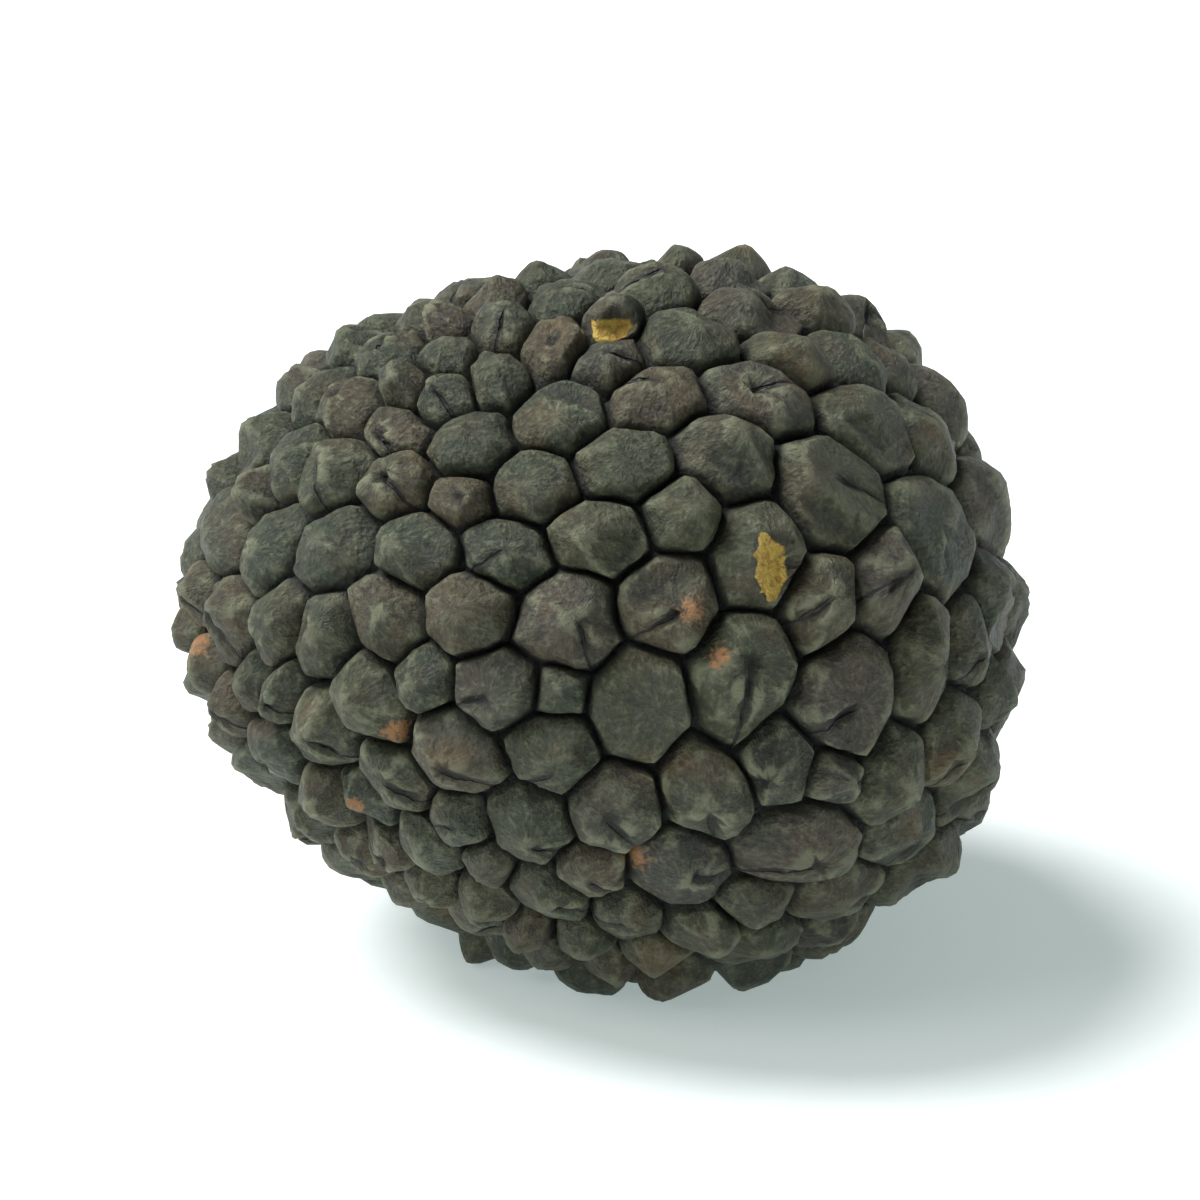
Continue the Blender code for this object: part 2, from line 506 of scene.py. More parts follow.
def facet_cut(bench, wart, half_width, number, east, north):
    """How far below the tip one facet lies over a point."""
    draw = {"Vector": wart.drawn, "W": float(number)}
    luck = bench.add("ShaderNodeTexWhiteNoise", draw, out="Color", noise_dimensions="4D")
    luck = bench.parts(luck)
    turn = bench.sum("ADD", bench.sum("MULTIPLY", luck[0], BEARING_LUCK), number)
    turn = bench.sum("MULTIPLY", turn, math.tau / (1 + SIDE_FACETS))
    turn = bench.sum("ADD", turn, bench.sum("MULTIPLY", wart.lot[1], SPIN))
    eastwards = bench.vector("SCALE", east, bench.sum("COSINE", turn))
    northwards = bench.vector("SCALE", north, bench.sum("SINE", turn))
    side = bench.vector("ADD", eastwards, northwards)
    starts, slopes = SIDE_FACET if number else BLUNT_TOP
    start = bench.sum("MULTIPLY", bench.ramp(luck[1], 0.0, 1.0, *starts), half_width)
    beyond = bench.sum("SUBTRACT", bench.vector("DOT_PRODUCT", wart.out, side), start)
    return bench.sum("MULTIPLY", beyond, bench.ramp(luck[2], 0.0, 1.0, *slopes))


def cap_by_facets(bench, wart, half_width, wart_height):
    """How far the facets move a point along its wart's own way."""
    east = bench.vector("NORMALIZE", bench.vector("CROSS_PRODUCT", wart.up, ANY_SIDE))
    north = bench.vector("CROSS_PRODUCT", wart.up, east)
    deepest = SHALLOWEST_CUT
    for number in range(1 + SIDE_FACETS):
        cut = facet_cut(bench, wart, half_width, number, east, north)
        deepest = bench.sum("SMOOTH_MAX", deepest, cut, SOFT_EDGE)
    ceiling = bench.sum("SUBTRACT", wart_height, deepest)
    ceiling = bench.sum("MAXIMUM", ceiling, bench.sum("MULTIPLY", wart_height, LEAST_HEIGHT))
    capped = bench.sum("SMOOTH_MIN", wart.height, ceiling, SOFT_EDGE)
    return bench.sum("SUBTRACT", capped, wart.height)


drop = cap_by_facets(bench, wart, half_width, given["Wart Height"])
drop = bench.sum("MULTIPLY", drop, bench.ramp(rise, *FACETS_COME_IN))
drop = bench.vector("SCALE", wart.up, drop)
print("nodes with the facets:", len(growth.nodes))

# %% [markdown]
# ## Folds, dimples and grain
# Faint folds run from the tip to the foot, because the skin shrinks as it ripens. A noise that is
# read along the bearing alone is the same all the way down a side, so it makes such folds. Nearly
# one wart in ten has a dimple in the middle, where its tip sank in. A fine grain goes over it all.

# %% Step 5, third mark: folds, dimples and grain
FOLD_SCALE = 1.8
FOLDS_APART = 40.0  # how far apart two warts read the noise of the folds
FOLD_TURN = 1.5  # radius of the ring on which one wart reads it: wider makes more folds
FOLD_START = (0.10, 0.55)  # from none to full height, in half widths from the tip
DIMPLED = (0.90, 0.92)  # the lots between which dimples come in
DIMPLE_EDGES = (0.10, 0.34)  # from full depth out to none, in half widths from the tip
DIMPLE_SHADE = (0.08, 0.26)  # from darkest out to none, in the same way
GRAIN_SCALE = 900.0  # swells per metre


def fold_height(bench, wart, spread, on_top, ridge_height):
    """Folds that run from the tip to the foot, and fade out at both."""
    own_place = bench.vector("SCALE", wart.drawn, FOLDS_APART)
    own_place = bench.vector("ADD", bench.vector("SCALE", wart.bearing, FOLD_TURN), own_place)
    height = bench.ramp(spread, *FOLD_START, 0.0, ridge_height)
    folds = bench.noise(own_place, FOLD_SCALE, detail=1.0)
    return bench.swing(folds, bench.sum("MULTIPLY", height, on_top))


dimpled = bench.ramp(wart.lot[2], *DIMPLED)
pit = bench.ramp(spread, *DIMPLE_EDGES, bench.sum("MULTIPLY", given["Dimple Depth"], -1.0), 0.0)
pit_shade = bench.sum("MULTIPLY", dimpled, bench.ramp(spread, *DIMPLE_SHADE, 1.0, 0.0))
folds = fold_height(bench, wart, spread, on_top, given["Ridge Height"])
amount = bench.sum("ADD", folds, bench.sum("MULTIPLY", dimpled, pit))
print("nodes with the folds and dimples:", len(growth.nodes))

# %% [markdown]
# ## Splits
# A little more than half of the warts have split while they swelled: a crack starts near the tip and
# opens down one side. It is a straight line in the wart's own frame, so its depth depends only on how
# far beside that line a point lies, and how far along it. The direction across the line is stored,
# because the material paints a thinner dark line of shade down the middle of the crack.

# %% Step 5, fourth mark: splits
SPLIT_ABOVE = 0.45  # warts whose second lot is higher than this have split
SPLIT_SPIN = 40.0  # turns the split by another angle on each wart
HEADING_RISE = 0.4  # without it, every split round the middle of the body would run level
SPLIT_EDGES = (0.05 * MM, 0.42 * MM)  # from full depth out to none, beside the line
SPLIT_START = (-0.30 * MM, 0.40 * MM)  # from none to full depth, along the line from the tip


def split_line(bench, wart):
    """The direction across a wart's split, and none where the wart is whole."""
    turn = bench.sum("MULTIPLY", wart.lot[2], SPLIT_SPIN)
    heading = {0: bench.sum("SINE", turn), 1: bench.sum("COSINE", turn), 2: HEADING_RISE}
    heading = bench.add("ShaderNodeCombineXYZ", heading)
    across = bench.vector("NORMALIZE", bench.vector("CROSS_PRODUCT", wart.up, heading))
    return bench.vector("SCALE", across, bench.sum("GREATER_THAN", wart.lot[1], SPLIT_ABOVE))


def split_shape(bench, wart, across):
    """1 along the bottom of a split and 0 away from it."""
    beside, along = wart.beside_and_along(bench, across)
    split = bench.vector("LENGTH", across)
    open_beside = bench.ramp(bench.sum("ABSOLUTE", beside), *SPLIT_EDGES, 1.0, 0.0)
    open_along = bench.ramp(along, *SPLIT_START)
    return bench.sum("MULTIPLY", bench.sum("MULTIPLY", open_beside, open_along), split)


across = split_line(bench, wart)
skin = store(bench, skin, "across_split", across, "FLOAT_VECTOR", "FACE")
split = bench.sum("MULTIPLY", split_shape(bench, wart, across), on_top)
split_push = bench.sum("MULTIPLY", split, bench.sum("MULTIPLY", given["Split Depth"], -1.0))
amount = bench.sum("ADD", amount, split_push)
print("nodes with the splits:", len(growth.nodes))

# %% [markdown]
# ## All marks at once
# The facets lower a point along its wart's own way. Folds, dimples, splits and grain move it along the
# normal. They go into one move, so that none of them changes the ground under the next. Splits and
# dimples are also noted as a mask, which the material uses to paint shade into them.

# %% Step 5: move the skin by all its marks
grain = bench.swing(bench.noise(place, GRAIN_SCALE, detail=3.0), given["Grain Height"])
amount = bench.sum("ADD", amount, grain)
# splits and dimples are stored as a mask of painted shade
skin = store(bench, skin, "scar", bench.sum("MAXIMUM", split, pit_shade), "FLOAT", "POINT")
push = bench.vector("SCALE", bench.add("GeometryNodeInputNormal"), amount)
moved = {"Geometry": skin, "Offset": bench.vector("ADD", drop, push)}
skin = bench.add("GeometryNodeSetPosition", moved)
print("nodes with all marks:", len(growth.nodes))

# %% [markdown]
# ## The flat spot, and the edges and hollows for wear and painted light
# A truffle sags a little where it lies. The underside comes down by the sag, fading out a few
# millimetres up, and nothing goes below Z = 0, so the lowest warts get flat feet.
#
# The material paints the edges and tips pale, partly as wear from handling and partly as painted
# highlight, and paints the hollows dark as painted shade. A point that stands out from the mean place
# of the points round it is on an edge, and a point that lies behind it is in a hollow. That difference
# is stored for the material.

# %% Step 6: press the underside flat, and note the edges and hollows for wear, painted highlight and painted shade
SAG_REACHES = 4.0 * MM
EDGE_SPAN = 2  # rounds of averaging: how wide a patch a point is compared with
EDGE_UNIT = 0.10 * MM  # a point that stands out this far scores 1, for wear, painted highlight and painted shade


def press_flat(bench, skin, sag):
    """Lets the underside down by the sag and presses it flat at Z = 0."""
    height = bench.parts(bench.add("GeometryNodeInputPosition"))[2]
    down = bench.ramp(height, sag, SAG_REACHES, sag, 0.0)
    pressed = bench.sum("MAXIMUM", bench.sum("SUBTRACT", height, down), 0.0)
    offset = bench.add("ShaderNodeCombineXYZ", {"Z": bench.sum("SUBTRACT", pressed, height)})
    return bench.add("GeometryNodeSetPosition", {"Geometry": skin, "Offset": offset})


def note_wear_highlight_and_shade(bench, skin):
    """Stores how far each point stands out from the points round it."""
    place = bench.add("GeometryNodeInputPosition")
    blur = {"Value": place, "Iterations": EDGE_SPAN, "Weight": 1.0}
    around = bench.add("GeometryNodeBlurAttribute", blur, data_type="FLOAT_VECTOR")
    apart = bench.vector("SUBTRACT", place, around)
    out = bench.vector("DOT_PRODUCT", apart, bench.add("GeometryNodeInputNormal"))
    # the score paints edges pale, partly as wear and partly as painted highlight, and hollows dark as
    # painted shade
    return store(bench, skin, "worn", bench.sum("DIVIDE", out, EDGE_UNIT), "FLOAT", "POINT")


skin = press_flat(bench, skin, given["Sag"])
skin = note_wear_highlight_and_shade(bench, skin)
print("nodes with the flat spot and the wear:", len(growth.nodes))

# %% [markdown]
# ## Ending the tree
# The faces are shaded smooth, apart from the edges that run along the furrows, which stay sharp so
# that no light seems to leak from one wart to the next. Realize Instances and Set Material end the
# tree, as they end any tree whose result has to leave Blender as a plain mesh.


# %% Shade, realize and hand out the skin
def finish_tree(bench, skin, given):
    """Shades the skin, turns it into one real mesh and gives it its material."""
    skin = bench.add("GeometryNodeRealizeInstances", {"Geometry": skin})
    skin = bench.add("GeometryNodeSetShadeSmooth", {"Geometry": skin})
    edge_rise = {"Value": recall(bench, "rise")}
    edge_rise = bench.add("GeometryNodeFieldOnDomain", edge_rise, data_type="FLOAT", domain="EDGE")
    in_furrow = bench.sum("LESS_THAN", edge_rise, CLEAR_OF_FURROW)
    sharp = {"Geometry": skin, "Selection": in_furrow, "Shade Smooth": False}
    skin = bench.add("GeometryNodeSetShadeSmooth", sharp, domain="EDGE")
    skin = bench.add("GeometryNodeSetMaterial", {"Geometry": skin, "Material": given["Skin"]})
    bench.tree.links.new(skin, bench.tree.nodes.new("NodeGroupOutput").inputs[0])


finish_tree(bench, skin, given)
print("nodes in the whole tree:", len(growth.nodes))

# %% [markdown]
# ## Colours of the skin
# A black truffle isn't black in good light. Its warts are dark olive and moss green, some of them
# brown or faintly mauve, and paler at the edges, partly from wear and partly as painted highlight. The
# furrows, hollows, cracks, splits and dimples are painted near black as shade, and the same near black
# makes dark specks. Where a wart has been knocked, the inside of the rind shows ochre, and a little
# reddish soil stays in corners.
#
# The numbers are linear light, which is what the shader works in: the share of red, green and blue
# that comes back.

# %% Colours
COLOURS = {
    "olive": (0.032, 0.038, 0.015, 1.0),
    "moss": (0.015, 0.025, 0.012, 1.0),
    "brown": (0.056, 0.036, 0.018, 1.0),
    "mauve": (0.040, 0.030, 0.028, 1.0),
    "tan": (0.120, 0.068, 0.024, 1.0),
    # pale for pale specks, and for edges that are partly worn and partly painted highlight
    "pale": (0.200, 0.212, 0.130, 1.0),
    # near black for dark specks, and for painted shade in furrows, hollows, cracks, splits and dimples
    "near_black_speck_and_shade": (0.0075, 0.0095, 0.0078, 1.0),
    "ochre": (0.600, 0.430, 0.085, 1.0),
    "rust": (0.300, 0.130, 0.025, 1.0),
    "soil": (0.300, 0.140, 0.050, 1.0),
}
BRIGHTNESS = (0.2126, 0.7152, 0.0722)  # how much red, green and blue each add to the brightness

for name, colour in COLOURS.items():
    print(f"{name} sends back {np.dot(colour[:3], BRIGHTNESS):.1%} of the light")

# %% [markdown]
# ## Patterns of the skin
# The finish is layered from a few noises, from swells wider than a wart down to a grain of a few
# tenths of a millimetre. They read the Object coordinates, which stay with the truffle from every
# side. The streaks also read the bearing on the wart, as the folds do, so they tend to run from tip
# to foot.

# %% Start the material, and lay out its patterns
PATTERNS = {  # swells per metre, levels of detail, and how strong the finer levels are
    "pale_edge_patches": (110.0, 2.0, 0.50),
    "tint": (170.0, 3.0, 0.50),
    "cloud": (260.0, 2.0, 0.50),
    "grit": (900.0, 4.0, 0.50),
    "grain": (2600.0, 6.0, 0.65),
}
STREAK_SCALE = 5.0
STREAK_BREAKS = 450.0  # how soon a streak breaks up on its way down the side

truffle_finish = bpy.data.materials.new("truffle_skin")
truffle_finish.use_nodes = True
shader = truffle_finish.node_tree.nodes["Principled BSDF"]
bench = Bench(truffle_finish.node_tree)


def note(name, out="Fac"):
    """Reads a note that was pinned to the skin as it grew."""
    return bench.add("ShaderNodeAttribute", out=out, attribute_name=name)


place = bench.add("ShaderNodeTexCoord", out="Object")
drawn = bench.vector("SCALE", note("lots", "Vector"), 1.0 / LOTS)
wart = OnWart(bench, place, note("way", "Vector"), note("foot", "Vector"), drawn)
pattern = {}
for name, (scale, detail, roughness) in PATTERNS.items():
    pattern[name] = bench.noise(place, scale, detail, Roughness=roughness)
streak_place = bench.vector("ADD", wart.bearing, bench.vector("SCALE", drawn, FOLDS_APART))
streak_place = bench.vector("ADD", streak_place, bench.vector("SCALE", place, STREAK_BREAKS))
pattern["streak"] = bench.noise(streak_place, STREAK_SCALE, detail=3.0)
print("patterns:", list(pattern))

# %% [markdown]
# ## Layers of colour
# Each layer comes in over a stretch of the value that drives it. The first ones give every wart its
# own colour, from its lots. The next ones drift across the warts and don't stop at the furrows, as
# on the real skin, and the last ones streak and speckle them.


# %% Colours of the warts
def mix(share, under, over):
    """Lays one colour over another."""
    inputs = {"Factor": share, "A": under, "B": over}
    return bench.add("ShaderNodeMix", inputs, out="Result", data_type="RGBA")


def lay_over(colour, layers):
    """Lays colours over each other, each from its first number to its second, up to its third."""
    for value, absent, full, strength, name in layers:
        colour = mix(bench.ramp(value, absent, full, 0.0, strength), colour, COLOURS[name])
    return colour


own_colours = (
    (wart.lot[0], 0.10, 0.90, 1.00, "olive"),
    (wart.lot[2], 0.55, 0.95, 0.70, "brown"),
    (wart.lot[1], 0.75, 0.95, 0.70, "mauve"),
)
drifts = (
    (pattern["cloud"], 0.45, 0.75, 0.70, "brown"),
    (pattern["cloud"], 0.50, 0.25, 0.70, "moss"),
    (pattern["tint"], 0.54, 0.74, 0.60, "tan"),
)
speckles = (
    (pattern["streak"], 0.45, 0.80, 0.22, "pale"),
    (pattern["grain"], 0.45, 0.80, 0.50, "pale"),
    (pattern["grit"], 0.50, 0.25, 0.55, "near_black_speck_and_shade"),
    (pattern["streak"], 0.48, 0.28, 0.50, "near_black_speck_and_shade"),
)
colour = lay_over(COLOURS["moss"], own_colours + drifts + speckles)
print("layers on the warts:", len(own_colours + drifts + speckles))

# %% [markdown]
# ## Pale edges, and painted shade in furrows, hollows and splits
# Edges are painted pale, more in some places than in others, partly as wear and partly as painted
# highlight, and hollows are painted dark as shade. A split gets a thin dark line of painted shade down
# its middle, which wobbles by the grit so that it doesn't look ruled. The furrows get the darkest
# painted shade: it follows the rise that every point has noted.

# %% Pale edges, partly wear and partly painted highlight, and painted shade in every hollow
BREAK_UP = 1.8  # how much the grain breaks up the pale edges, partly wear and partly painted highlight
WEAR_AND_HIGHLIGHT_PALE = (0.30, 1.70)  # the score from which an edge turns pale, as wear and painted highlight, and at which it is palest
PALE_PATCH_SPAN = (0.35, 0.65)  # most of the noise of pale patches lies between these
LEAST_EDGE_PALE, MOST_EDGE_PALE = (0.25, 0.70)  # how pale the edges are, as wear and painted highlight, from place to place
WOBBLE = 0.5 * MM  # the dark line strays by up to half of this
CRACK_EDGES = (0.04 * MM, 0.12 * MM)  # from darkest painted shade out to none, beside the line
CRACK_START = (0.0, 0.5 * MM)  # from none to darkest, along the line from the tip

worn = bench.sum("ADD", note("worn"), bench.swing(pattern["grain"], BREAK_UP))
pale_edge_patches = bench.ramp(pattern["pale_edge_patches"], *PALE_PATCH_SPAN, LEAST_EDGE_PALE, MOST_EDGE_PALE)
# pale edges: partly wear and partly painted highlight
colour = mix(bench.sum("MULTIPLY", bench.ramp(worn, *WEAR_AND_HIGHLIGHT_PALE), pale_edge_patches), colour, COLOURS["pale"])

beside, along = wart.beside_and_along(bench, note("across_split", "Vector"))
beside = bench.sum("ABSOLUTE", bench.sum("ADD", beside, bench.swing(pattern["grit"], WOBBLE)))
# the dark line down a crack is painted shade
crack_and_shade = bench.ramp(beside, *CRACK_EDGES, 1.0, 0.0)
crack_and_shade = bench.sum("MULTIPLY", crack_and_shade, bench.ramp(along, *CRACK_START))
# painted shade: dark in hollows, along cracks, down the furrows by their rise, and in splits and
# dimples
painted_shade_layers = (
    (note("worn"), -0.10, -0.90, 0.60, "near_black_speck_and_shade"),
    (crack_and_shade, 0.0, 1.0, 0.90, "near_black_speck_and_shade"),
    (note("rise"), 0.46, 0.06, 1.00, "near_black_speck_and_shade"),
    (note("scar"), 0.0, 1.0, 0.60, "near_black_speck_and_shade"),
)
colour = lay_over(colour, painted_shade_layers)
print("layers in the hollows:", len(painted_shade_layers))

# %% [markdown]
# ## Soil and fresh chips
# These two are masks that are stored on the skin further down, where the places are chosen. The soil
# is broken up by the grain, as a smear is. A chip is clean ochre, speckled with rust, and its edge is
# sharp but ragged.

# %% Soil and chips
SMEARED = 2.2  # how much the grain breaks up the soil
SOIL_EDGE = (0.35, 0.90)  # of the broken-up mask, from bare skin to soil
SOIL_RIM = (0.05, 0.30)  # of the mask itself, so that no grain far from the spot turns to soil
SOIL_STRENGTH = 0.85
RAGGED = 0.9  # how much the grit frays the edge of a chip
CHIP_EDGE = (0.42, 0.62)  # of the frayed mask, from the rind to the inside
RUST_SPECKS = (0.58, 0.34)  # of the grain, from clean ochre to the most rust
RUST_STRENGTH = 0.8

rusty = bench.ramp(pattern["grain"], *RUST_SPECKS, 0.0, RUST_STRENGTH)
fresh = mix(rusty, COLOURS["ochre"], COLOURS["rust"])
smear = bench.sum("ADD", note("soil"), bench.swing(pattern["grain"], SMEARED))
smear = bench.sum("MULTIPLY", bench.ramp(smear, *SOIL_EDGE), bench.ramp(note("soil"), *SOIL_RIM))
colour = mix(bench.sum("MULTIPLY", smear, SOIL_STRENGTH), colour, COLOURS["soil"])
chip = bench.sum("ADD", note("chip"), bench.swing(pattern["grit"], RAGGED))
colour = mix(bench.ramp(chip, *CHIP_EDGE), colour, fresh)
bench.feed(shader.inputs["Base Color"], colour)
print("nodes in the colour:", len(truffle_finish.node_tree.nodes))

# %% [markdown]
# ## Sheen and relief
# The rind is dry and hard. Its raised grains are rubbed dull, and the skin between them keeps a faint
# waxy sheen, so the roughness follows the grain. The relief that is too fine for the mesh goes into
# a Bump node: grain, streaks and grit stand up, and the crack goes down.

# %% Roughness and bump
WAXY, DULL = (0.45, 0.68)  # roughness between the grains, and on them
SHINE = 0.45  # a little less than the 0.5 that most things have
GRAIN_SPAN = (0.3, 0.7)  # most of the grain lies between these
RELIEF_HEIGHT = 0.30 * MM  # of a pattern that runs all the way from 0 to 1
GRAIN_RELIEF = 1.2  # as a share of that height
STREAK_RELIEF = 0.5

bench.feed(shader.inputs["Roughness"], bench.ramp(pattern["grain"], *GRAIN_SPAN, WAXY, DULL))
shader.inputs["Specular IOR Level"].default_value = SHINE
relief = bench.sum("MULTIPLY", pattern["grain"], GRAIN_RELIEF)
relief = bench.sum("ADD", relief, bench.sum("MULTIPLY", pattern["streak"], STREAK_RELIEF))
relief = bench.sum("SUBTRACT", bench.sum("ADD", relief, pattern["grit"]), crack_and_shade)
bump = {"Strength": 1.0, "Distance": RELIEF_HEIGHT, "Height": relief}
bench.feed(shader.inputs["Normal"], bench.add("ShaderNodeBump", bump, out="Normal"))
print("nodes in the whole material:", len(truffle_finish.node_tree.nodes))

# %% [markdown]
# ## Running the tree
# The tips go into a mesh of loose points, and a Geometry Nodes modifier on it grows the skin. Its
# inputs are set by their identifiers, because names needn't be unique. The result is then copied
# out as a plain mesh, and the modifier goes, so nothing is left that could change later.


# %% Grow the truffle
def grown_mesh(planted, tree, inputs):
    """Runs a tree on an object and returns the result as a plain mesh."""
    modifier = planted.modifiers.new("grow", "NODES")
    modifier.node_group = tree
    for item in tree.interface.items_tree:
        if item.name in inputs:
            modifier[item.identifier] = inputs[item.name]
    graph = bpy.context.evaluated_depsgraph_get()
    mesh = bpy.data.meshes.new_from_object(planted.evaluated_get(graph), depsgraph=graph)
    planted.modifiers.remove(modifier)
    return mesh


def read_places(mesh):
    """The place of every point of a mesh, one row each."""
    places = np.empty(len(mesh.vertices) * 3)
    mesh.vertices.foreach_get("co", places)
    return places.reshape(-1, 3)


tip_mesh = bpy.data.meshes.new("wart_tips")
tip_mesh.from_pydata(tips.tolist(), [], [])
truffle = bpy.data.objects.new("truffle_skin", tip_mesh)
bpy.context.scene.collection.objects.link(truffle)
settings = {"CAD Truffle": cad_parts["truffle"], "Body Centre": BODY_CENTRE, **SIZES}
settings.update({"Seed": GROWTH_SEED, "Skin": truffle_finish})
truffle.data = grown_mesh(truffle, growth, settings)
places = read_places(truffle.data)
print("grown:", len(places), "points and", len(truffle.data.polygons), "faces")

# %% [markdown]
# ## Pointing at places on the front
# Some marks are single ones with a place of their own: two fresh chips, a few dimples, and specks of
# soil. Their places are given as somebody in front of the truffle would point at them, so far right
# of and above the middle of its outline. A ray from that spot finds the skin. Writing them in the
# frame's own coordinates would bury most of them below the surface or leave them in the air.

# %% Find a spot of the skin from the front
VIEW_ANGLE = math.radians(22)  # the front is looked at from this much above the level
TOWARDS_EYE = Vector((0.0, -math.cos(VIEW_ANGLE), math.sin(VIEW_ANGLE)))
UP = Vector((0.0, math.sin(VIEW_ANGLE), math.cos(VIEW_ANGLE)))
RIGHT = Vector((1.0, 0.0, 0.0))
CLEAR_OF_SKIN = 100.0 * MM  # the rays start this far in front

middle = (Vector(cad_box[0]) + Vector(cad_box[1])) / 2
heights = places @ np.array(UP)
outline_middle = (heights.min() + heights.max()) / 2 - middle.dot(UP)
surface = BVHTree.FromPolygons(
    [vert.co for vert in truffle.data.vertices], [face.vertices for face in truffle.data.polygons]
)


def on_front(right, up):
    """The spot of the skin so many millimetres right of and above the middle of the outline."""
    aside = RIGHT * right * MM + UP * (up * MM + outline_middle)
    return surface.ray_cast(middle + aside + TOWARDS_EYE * CLEAR_OF_SKIN, -TOWARDS_EYE)[0]


print(f"the outline's middle is {outline_middle / MM:.2f} mm above that of the box")

# %% [markdown]
# ## Chips
# A chip is where a knock has taken a flake off a wart: a wedge-shaped flat cut through the dark rind.
# A Boolean would cut it, and would leave long thin faces round it. Pressing the points that stand
# above the cut down to it does the same with the mesh as it is. The cut leans to one side, so that
# it takes more off one side of the wart than off the other.

# %% Knock two chips off
CHIPS = (  # right and up, half the width and half the height, depth, all in mm; and the cut's lean
    (9.9, 2.55, 1.25, 2.6, 0.75, RIGHT * 0.9),
    (0.4, 16.5, 1.50, 0.9, 0.45, RIGHT * 0.4 + TOWARDS_EYE * 0.8),
)
CHIP_WEDGE = 0.55  # how much wider than its middle the upper end of a chip is
CHIP_REACH = 4.0 * MM  # nothing further than this from the middle of a chip is cut
CHIP_RIM = 6.0  # how sharply a chip ends at its rim
RIND = 0.15 * MM  # how deep a cut has to go to show the inside


def knock_off(places, right, up, half_width, half_height, depth, lean):
    """Cuts a flake off the skin. Returns 1 for each point that is on the cut and 0 for others."""
    centre = on_front(right, up)
    normal = ((centre - BODY_CENTRE).normalized() + lean).normalized()
    along = (UP - normal * UP.dot(normal)).normalized()
    across = along.cross(normal)
    apart = places - np.array(centre)
    above = apart @ np.array(normal) + depth * MM
    upwards = apart @ np.array(along) / (half_height * MM)
    sideways = apart @ np.array(across) / (half_width * MM)
    sideways /= 1.0 + CHIP_WEDGE * np.clip(upwards, -1.0, 1.0)
    within = np.clip((1.0 - np.hypot(sideways, upwards)) * CHIP_RIM, 0.0, 1.0)
    within *= np.linalg.norm(apart, axis=1) < CHIP_REACH
    places -= np.outer(np.maximum(above, 0.0) * within, normal)
    return within * np.clip(1.0 + above / RIND, 0.0, 1.0)


chipped = np.zeros(len(places))
for chip_facts in CHIPS:
    chipped = np.maximum(chipped, knock_off(places, *chip_facts))
print("points on the chips:", int((chipped > 0.5).sum()))

# %% [markdown]
# ## Single dimples, and soil
# Three warts on the front have a sunken tip, one of them deep. The spot only says which wart is
# meant: the dimple goes where that wart's tip is, straight towards the middle of the body. The soil
# is a mask alone, because a smear has no thickness worth modelling.

# %% Press the dimples and smear the soil
DIMPLES = (  # right and up of a wart, and the radius and depth of its dimple, all in mm
    (7.0, 11.7, 1.1, 1.30),
    (13.3, 13.5, 0.7, 0.50),
    (-10.5, 12.0, 0.6, 0.50),
)
SOIL = (  # right and up, and radius, all in mm
    (5.1, 0.7, 0.9),
    (6.6, -1.9, 0.9),
    (-11.3, -6.2, 1.1),
    (2.0, -13.2, 1.0),
    (-23.2, -1.1, 1.3),
    (-14.0, -10.5, 0.8),
)


def nearness(places, spot, radius):
    """1 at a spot, fading out over a radius in millimetres."""
    apart = np.linalg.norm(places - np.array(spot), axis=1) / (radius * MM)
    return np.exp(-(apart**2))


for right, up, radius, depth in DIMPLES:
    pointed_at = (on_front(right, up) - BODY_CENTRE).normalized()
    towards = Vector(tips[np.argmax(tips @ pointed_at)])
    tip = surface.ray_cast(BODY_CENTRE, towards)[0]
    places -= np.outer(nearness(places, tip, radius) * depth * MM, towards)
soiled = np.zeros(len(places))
for right, up, radius in SOIL:
    soiled = np.maximum(soiled, nearness(places, on_front(right, up), radius))
truffle.data.vertices.foreach_set("co", places.ravel())
for name, mask in (("chip", chipped), ("soil", soiled)):
    truffle.data.attributes.new(name, "FLOAT", "POINT").data.foreach_set("value", mask)
truffle.data.update()
print("points with soil:", int((soiled > 0.5).sum()))

# %% [markdown]
# ## A flat map of the skin
# To leave Blender with its finish, the skin needs a flat map on which every face has its own spot.
# Cutting it open at the furrows would make hundreds of islands. The skin is a lumpy ball and nothing
# overhangs much when seen from the middle, so six square patches will do, like the sides of a box
# round it. Each face goes on the side that it lies behind. Angles are used in place of plain
# projection, so that faces near the edge of a patch get as much room as those in its middle.

# %% Lay the skin out on six patches
PATCHES = (3, 2)  # one column for each axis, and one row for each direction along it
MAP_MARGIN = 0.04  # empty border of each patch, as a share of the patch


def lay_flat(mesh, centre):
    """Writes the flat map of the skin, and returns the spots of all the corners on it."""
    corners = np.empty(len(mesh.loops), dtype=np.int32)
    mesh.loops.foreach_get("vertex_index", corners)
    sizes = np.empty(len(mesh.polygons), dtype=np.int32)
    mesh.polygons.foreach_get("loop_total", sizes)
    middles = np.empty(len(mesh.polygons) * 3)
    mesh.polygons.foreach_get("center", middles)
    middles = middles.reshape(-1, 3) - np.array(centre)
    ways = (read_places(mesh) - np.array(centre))[corners]
    side = np.argmax(np.abs(middles), axis=1)
    ahead = middles[np.arange(len(middles)), side] > 0
    side = np.repeat(side, sizes)
    ahead = np.repeat(ahead, sizes)
    row = np.arange(len(ways))
    deep = np.abs(ways[row, side])
    flat = np.stack([ways[row, (side + 1) % 3], ways[row, (side + 2) % 3]], axis=1)
    turned = np.arctan2(flat, deep[:, None]) / (math.pi / 4)  # -1 to 1 from edge to edge of a patch
    turned[:, 0] *= np.where(ahead, 1.0, -1.0)  # or the patches that look back would be mirrored
    within = 0.5 + turned * (0.5 - MAP_MARGIN)
    spots = (within + np.stack([side, ahead], axis=1)) / PATCHES
    mesh.uv_layers.new(name="OFBake").data.foreach_set("uv", spots.ravel())
    return spots


